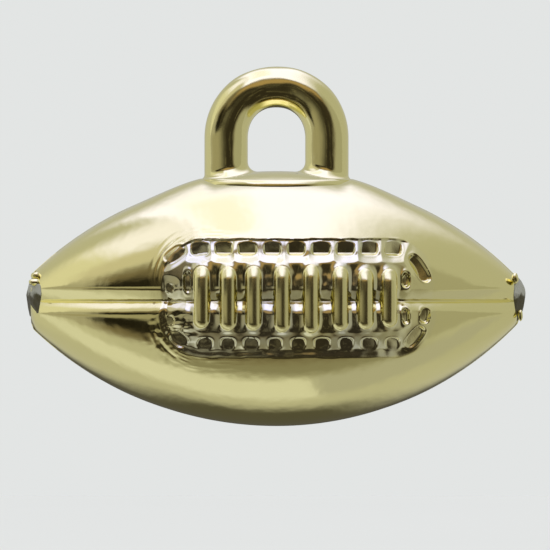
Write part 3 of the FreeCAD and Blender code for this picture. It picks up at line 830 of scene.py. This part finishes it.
def loop_tube(scene):
    """The U-shaped loop as rings of points, from its left foot over the arch to its right foot."""
    loop, ball = scene.charm_loop, scene.charm_ball
    arch = EYE_RADIUS + LOOP_SECTION
    top = EYE_RADIUS + 2 * LOOP_SECTION - loop.top_section
    around = np.linspace(0, 2 * math.pi, LOOP_POINTS, endpoint=False)
    outward, across = np.cos(around), np.sin(around)

    def leg(sign):
        rings = []
        flare = loop.flare + (loop.outer_flare - loop.flare) * np.clip(outward, 0, 1)
        for turn in np.linspace(0, math.pi / 2, FLARE_RINGS):
            section = LOOP_SECTION + flare * (1 - math.sin(turn))
            x, y = sign * (arch + section * outward), section * across
            seat = saddle_height(x, y, ball, loop.saddle_rise)
            rings.append(np.stack([x, y, seat + flare * (1 - math.cos(turn))], axis=-1))
        sunk = rings[0] - np.array([0, 0, LEG_SINKS * MM])
        straight = []
        for share in np.linspace(0, 1, LEG_RINGS + 2)[1:-1]:
            ring = rings[-1].copy()
            ring[:, 2] *= 1 - share
            straight.append(ring)
        return [sunk] + rings + straight

    curve = []
    power = 2 / loop.arch_square
    for angle in np.linspace(math.pi, 0, ARCH_RINGS):
        cos, sin = math.cos(angle), math.sin(angle)
        section = LOOP_SECTION + (loop.top_section - LOOP_SECTION) * sin**2
        x = arch * math.copysign(abs(cos) ** power, cos) + section * outward * cos
        z = top * abs(sin) ** power + section * outward * sin
        curve.append(np.stack([x, section * across, z], axis=-1))
    rings = np.array(leg(-1) + curve + leg(1)[::-1])
    # slight waves, fading out towards the feet
    place = np.linspace(0, 16, len(rings))[:, None] + 0 * around
    wave = value_noise(place, 40 + 3 * across, 21) + value_noise(place, 60 + 3 * outward, 22)
    fade = smooth(rings[:, :, 2], -2.2 * MM, -1.2 * MM) * loop.unevenness
    rings[:, :, 1] += wave * fade * across
    rings[:, :, 2] += wave * fade * outward * np.clip(rings[:, :, 2] / top, 0, 1) - fade
    return rings


def saddle_rings(scene):
    """The oval saddle as rings of points, from the middle of its top round its edge to below."""
    loop, ball = scene.charm_loop, scene.charm_ball
    around = np.linspace(0, 2 * math.pi, SADDLE_POINTS, endpoint=False)
    inner = np.linspace(0.02, 1 - loop.saddle_edge, 30)
    edge = 1 - loop.saddle_edge * (1 - np.sin(np.linspace(0, math.pi / 2, 14)))

    def ring(share, rise, sinks):
        x, y = loop.saddle_half * share * np.cos(around), loop.saddle_deep * share * np.sin(around)
        return np.stack([x, y, saddle_height(x, y, ball, rise) - sinks], axis=-1)

    rings = []
    for share in np.concatenate([inner, edge[1:]]):
        fall = max(0.0, (share - 1) / loop.saddle_edge + 1)
        rings.append(ring(share, loop.saddle_rise * math.sqrt(max(0.0, 1 - fall**2)), 0))
    rings += [ring(share, 0, SADDLE_SINKS * MM) for share in np.linspace(1, 0.02, 12)]
    return np.array(rings)


def capped_tube(name, rings, flip):
    """A closed mesh through rings of points, with a flat cap at each end."""
    rows, count = rings.shape[:2]
    faces = grid_faces(rows, count, 0, flip=flip, wrap=True)
    caps = [list(range(count)), [(rows - 1) * count + k for k in range(count)]]
    faces += [caps[0] if flip else caps[0][::-1], caps[1][::-1] if flip else caps[1]]
    return mesh_from_arrays(name, rings.reshape(-1, 3), faces, math.radians(50))


def merge(piece, tool, context):
    """Unites a second mesh with a piece, and keeps the result as the piece's own mesh."""
    other = bpy.data.objects.new("tool", tool)
    context.scene.collection.objects.link(other)
    union = piece.modifiers.new("union", "BOOLEAN")
    union.operation, union.solver, union.object = "UNION", "EXACT", other
    context.view_layer.update()
    merged = bpy.data.meshes.new_from_object(piece.evaluated_get(context.evaluated_depsgraph_get()))
    piece.modifiers.clear()
    merged.name = piece.name
    piece.data = merged
    bpy.data.objects.remove(other)


class CHARM_OT_hanging_loop(bpy.types.Operator):
    """Builds the hanging loop on its saddle"""

    bl_idname = "charm.hanging_loop"
    bl_label = "Hanging Loop"

    def execute(self, context):
        scene = context.scene
        material = gold_plating()
        tube = capped_tube("hanging_loop_moulding", loop_tube(scene), flip=False)
        saddle = capped_tube("saddle", saddle_rings(scene), flip=True)
        saddle.materials.append(material)
        piece = piece_from_mesh("hanging_loop_moulding", tube, material)
        merge(piece, saddle, context)
        # the ball stays plain where a mirror image of the loop would darken it
        piece.visible_glossy = False
        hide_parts("hanging_loop")
        return {"FINISHED"}


# The broken end of each gate: points round its outline, along the ball and up, and how far each
# point reaches to the front and the back.
LEFT_BREAK = (
    (-18.30, 2.02, 0.5), (-18.62, 1.85, 0.8), (-18.88, 1.40, 0.8), (-19.02, 0.85, 0.7),
    (-19.12, 0.45, 0.6), (-19.05, 0.00, 0.5), (-18.98, -0.55, 0.6), (-18.84, -1.20, 0.6),
    (-17.88, 0.52, 2.84), (-17.96, 1.18, 2.54), (-18.04, -0.32, 2.70), (-18.13, -0.95, 2.50),
    (-18.50, 0.62, 2.10), (-18.55, -0.25, 1.95), (-18.34, 1.35, 2.05),
)
RIGHT_BREAK = (
    (18.15, 1.95, 0.6), (18.40, 1.84, 0.9), (18.62, 1.62, 1.0), (18.80, 1.32, 1.0),
    (18.96, 0.98, 0.8), (19.03, 0.62, 0.6), (18.98, 0.15, 0.8), (18.88, -0.20, 0.9),
    (18.84, -0.60, 0.9), (18.70, -1.05, 0.9), (18.52, -1.38, 0.8), (18.30, -1.62, 0.7),
    (18.20, -0.70, 1.95), (18.06, 0.30, 2.16), (18.14, 1.30, 1.70), (18.50, 0.60, 1.72),
)
# Blobs of torn plating on the breaks: middle, and half sizes.
LEFT_BLOBS = (((-18.36, -1.55, 1.92), (0.40, 0.34, 0.27)), ((-18.42, -1.88, 1.42), (0.46, 0.34, 0.27)))
RIGHT_BLOBS = (((18.20, -1.70, 1.72), (0.26, 0.28, 0.40)), ((18.60, -1.30, -1.10), (0.17, 0.25, 0.42)))
GATES = {"left": (LEFT_BREAK, LEFT_BLOBS), "right": (RIGHT_BREAK, RIGHT_BLOBS)}
BREAK_BEVEL, BLOB_WAVE, BLOB_SCALE = 0.05, 0.06, 2600


class CHARM_OT_gate_stubs(bpy.types.Operator):
    """Builds the broken gates on both tips"""

    bl_idname = "charm.gate_stubs"
    bl_label = "Gate Stubs"

    def execute(self, context):
        seed_set(context.scene.charm_studio.seed)
        for side, (outline, blobs) in GATES.items():
            name = f"broken_gate_{side}"
            stub = piece_from_mesh(name, self.break_mesh(name, outline), bare_resin())
            stub.visible_glossy = False
            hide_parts(f"gate_stub_{side}")
            name = f"torn_plating_{side}"
            piece_from_mesh(name, self.blob_mesh(name, blobs), gold_plating())
        return {"FINISHED"}

    def break_mesh(self, name, outline):
        """A faceted lump, the hull of the outline's points."""
        lump = bmesh.new()
        for along, up, deep in outline:
            for side in (-1, 1):
                lump.verts.new((along * MM, side * deep * MM, up * MM + BALL_Z))
        hull = bmesh.ops.convex_hull(lump, input=lump.verts)
        spare = [part for part in hull["geom_interior"] if isinstance(part, bmesh.types.BMVert)]
        bmesh.ops.delete(lump, geom=spare, context="VERTS")
        bmesh.ops.bevel(
            lump, geom=lump.edges[:], offset=BREAK_BEVEL * MM, segments=2, affect="EDGES",
            clamp_overlap=True,
        )
        mesh = bpy.data.meshes.new(name)
        lump.to_mesh(mesh)
        lump.free()
        return mesh

    def blob_mesh(self, name, blobs):
        """Small uneven blobs."""
        lump = bmesh.new()
        for middle, half in blobs:
            place = Matrix.Translation(Vector(middle) * MM + Vector((0, 0, BALL_Z)))
            place = place @ Matrix.Diagonal((*(Vector(half) * MM), 1))
            bmesh.ops.create_icosphere(lump, subdivisions=4, radius=1, matrix=place)
        for vertex in lump.verts:
            vertex.co += BLOB_WAVE * MM * noise_vector(vertex.co * BLOB_SCALE)
        for face in lump.faces:
            face.smooth = True
        mesh = bpy.data.meshes.new(name)
        lump.to_mesh(mesh)
        lump.free()
        return mesh


FLOOR_RADIUS = 1.0
# Soft boxes, cards and flags round the charm, from the first that is laid down to the last: the two
# limits round the X axis, from straight ahead over the top, the two limits to the sides, how soft
# each of the four limits is, all in degrees, and the colour.
STUDIO_LIGHTS = (
    ("left wall", (-200, 200), (-100, -48), (5, 5), (6, 8), (0.54, 0.54, 0.53)),
    ("upper left wall", (60, 118), (-100, -40), (6, 16), (6, 6), (0.72, 0.71, 0.68)),
    ("right wall", (-200, 200), (38, 100), (5, 5), (10, 8), (0.47, 0.47, 0.45)),
    ("left front", (-65, 62), (-100, -50), (4, 5), (8, 8), (0.40, 0.385, 0.36)),
    ("right front", (-62, 58), (38, 100), (5, 6), (8, 8), (0.38, 0.375, 0.34)),
    ("upper left front", (50, 74), (-62, -22), (6, 8), (8, 8), (0.60, 0.57, 0.54)),
    ("overhead soft box", (44, 134), (-24, 24), (6, 14), (4, 15), (1.25, 1.25, 2.25)),
    ("soft box end", (73, 106), (-45, -22), (8, 14), (6, 4), (1.02, 1.01, 1.60)),
    ("soft box bar", (67, 124), (-18, -6), (5, 16), (4, 4), (1.10, 1.10, 1.60)),
    ("floor card", (-104, -78), (-84, 10), (5, 5), (10, 2), (0.68, 0.69, 0.74)),
    ("floor card right", (-102, -74), (10, 70), (5, 5), (2, 12), (0.43, 0.43, 0.45)),
    ("dark behind", (-180, -119), (-19, 14), (8, 9), (8, 8), (0.09, 0.085, 0.07)),
    ("brown below", (-74, -50), (-28, 40), (6, 6), (8, 12), (0.25, 0.24, 0.20)),
    ("brown ahead", (-58, 48), (-58, 40), (7, 7), (6, 12), (0.18, 0.15, 0.105)),
    ("orange above", (25, 43), (-24, 28), (7, 6), (8, 8), (0.40, 0.28, 0.15)),
    ("dark ahead", (-53, 23), (-40, 38), (6, 8), (7, 8), (0.03, 0.025, 0.018)),
    ("dark left", (-46, 34), (-62, -36), (5, 6), (6, 8), (0.014, 0.012, 0.008)),
    ("dark right", (10, 30), (14, 36), (6, 6), (6, 8), (0.04, 0.032, 0.022)),
    ("olive ahead", (-25, 10), (-80, -22), (6, 5), (8, 26), (0.34, 0.32, 0.26)),
)
ROOM_PATCH = (0.13, 0.115, 0.08)
SURROUND = (0.50, 0.50, 0.49)
# What lights the matt surfaces: the backdrop's colour, dimmed, from below, and a bright sky above.
LOW_LIGHT, SKY_LIGHT = 0.3, (1.15, 1.15, 1.13)


class CHARM_OT_studio(bpy.types.Operator):
    """Sets up the camera, the floor and the light"""

    bl_idname = "charm.studio"
    bl_label = "Studio"

    def execute(self, context):
        scene = context.scene
        studio = scene.charm_studio
        view = bpy.data.cameras.new("camera")
        camera = bpy.data.objects.new("camera", view)
        scene.collection.objects.link(camera)
        camera.location = (studio.view_x, -studio.distance, studio.view_z)
        camera.rotation_euler = (math.radians(90), 0, 0)
        view.lens = view.sensor_width * studio.distance / studio.view_width
        view.clip_start, view.clip_end = 0.01, 20
        scene.camera = camera
        scene.view_settings.view_transform = "Standard"
        self.lay_floor(context)
        self.light_world(context)
        return {"FINISHED"}

    def lay_floor(self, context):
        """A wide pale disc below the view."""
        studio = context.scene.charm_studio
        level, radius, turns = studio.view_z - studio.floor_drop, FLOOR_RADIUS, 96
        turn = np.linspace(0, 2 * math.pi, turns, endpoint=False)
        rim = np.stack([radius * np.cos(turn), radius * np.sin(turn), np.full(turns, level)], axis=-1)
        mesh = mesh_from_arrays("floor", rim, [list(range(turns))])
        floor = bpy.data.objects.new("floor", mesh)
        context.scene.collection.objects.link(floor)
        mesh.materials.append(floor_finish())
        floor.visible_glossy = False

    def light_world(self, context):
        """Soft boxes, cards and flags, as one smooth surround."""
        studio = context.scene.charm_studio
        world = bpy.data.worlds.new("studio")
        context.scene.world = world
        world.use_nodes = True
        tree = world.node_tree
        background = tree.nodes["Background"]
        split = tree.nodes.new("ShaderNodeSeparateXYZ")
        tree.links.new(place_on(tree, "Generated"), split.inputs[0])
        ahead = math_node(tree, "MULTIPLY", split.outputs["Y"], -1.0)
        degrees = 180 / math.pi
        over = math_node(tree, "MULTIPLY", math_node(tree, "ARCTAN2", split.outputs["Z"], ahead), degrees)
        aside = math_node(tree, "MULTIPLY", math_node(tree, "ARCSINE", split.outputs["X"]), degrees)
        shade = SURROUND
        patches = self.room_patches(tree)
        for name, (low, high), (left, right), soft_over, soft_aside, light in STUDIO_LIGHTS:
            (soft_low, soft_high), (soft_left, soft_right) = soft_over, soft_aside
            mask = remap(tree, over, low - soft_low, low + soft_low)
            for value, edge, soft, falling in (
                (over, high, soft_high, True),
                (aside, left, soft_left, False),
                (aside, right, soft_right, True),
            ):
                ends = (1.0, 0.0) if falling else (0.0, 1.0)
                part = remap(tree, value, edge - soft, edge + soft, *ends)
                mask = math_node(tree, "MULTIPLY", mask, part)
            if name == "dark ahead":
                light = mix_colour(tree, patches, light, ROOM_PATCH)
            shade = mix_colour(tree, mask, shade, light)
        path = tree.nodes.new("ShaderNodeLightPath")
        rising = remap(tree, split.outputs["Z"], -0.4, 0.7)
        low_light = [LOW_LIGHT * part for part in studio.backdrop]
        soft = mix_colour(tree, rising, low_light, SKY_LIGHT)
        shade = mix_colour(tree, path.outputs["Is Diffuse Ray"], shade, soft)
        shade = mix_colour(tree, path.outputs["Is Camera Ray"], shade, studio.backdrop)
        tree.links.new(shade, background.inputs["Color"])

    def room_patches(self, tree):
        """The uneven room behind the camera, as a mask of a few soft patches."""
        return remap(tree, noise(tree, place_on(tree, "Generated"), 6.5, 3.0), 0.53, 0.70)


OPERATORS = (
    CHARM_OT_front_shell,
    CHARM_OT_back_shell,
    CHARM_OT_hanging_loop,
    CHARM_OT_gate_stubs,
    CHARM_OT_studio,
)


class CHARM_PT_sidebar(bpy.types.Panel):
    """Lists the charm's pieces"""

    bl_idname = "CHARM_PT_sidebar"
    bl_label = "Football Charm"
    bl_space_type = "VIEW_3D"
    bl_region_type = "UI"
    bl_category = "Charm"

    def draw(self, context):
        for operator in OPERATORS:
            self.layout.operator(operator.bl_idname)
        for group in SETTINGS:
            settings = getattr(context.scene, group)
            box = self.layout.box()
            for field in settings.__annotations__:
                box.prop(settings, field)


CLASSES = (*SETTINGS.values(), *OPERATORS, CHARM_PT_sidebar)


def register():
    for part in CLASSES:
        bpy.utils.register_class(part)
    for group, settings in SETTINGS.items():
        setattr(bpy.types.Scene, group, PointerProperty(type=settings))


def unregister():
    for group in SETTINGS:
        delattr(bpy.types.Scene, group)
    for part in reversed(CLASSES):
        bpy.utils.unregister_class(part)


def main():
    """Registers the add-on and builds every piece."""
    register()
    bpy.ops.charm.front_shell()
    bpy.ops.charm.back_shell()
    bpy.ops.charm.hanging_loop()
    bpy.ops.charm.gate_stubs()
    bpy.ops.charm.studio()


if __name__ == "__main__":
    main()
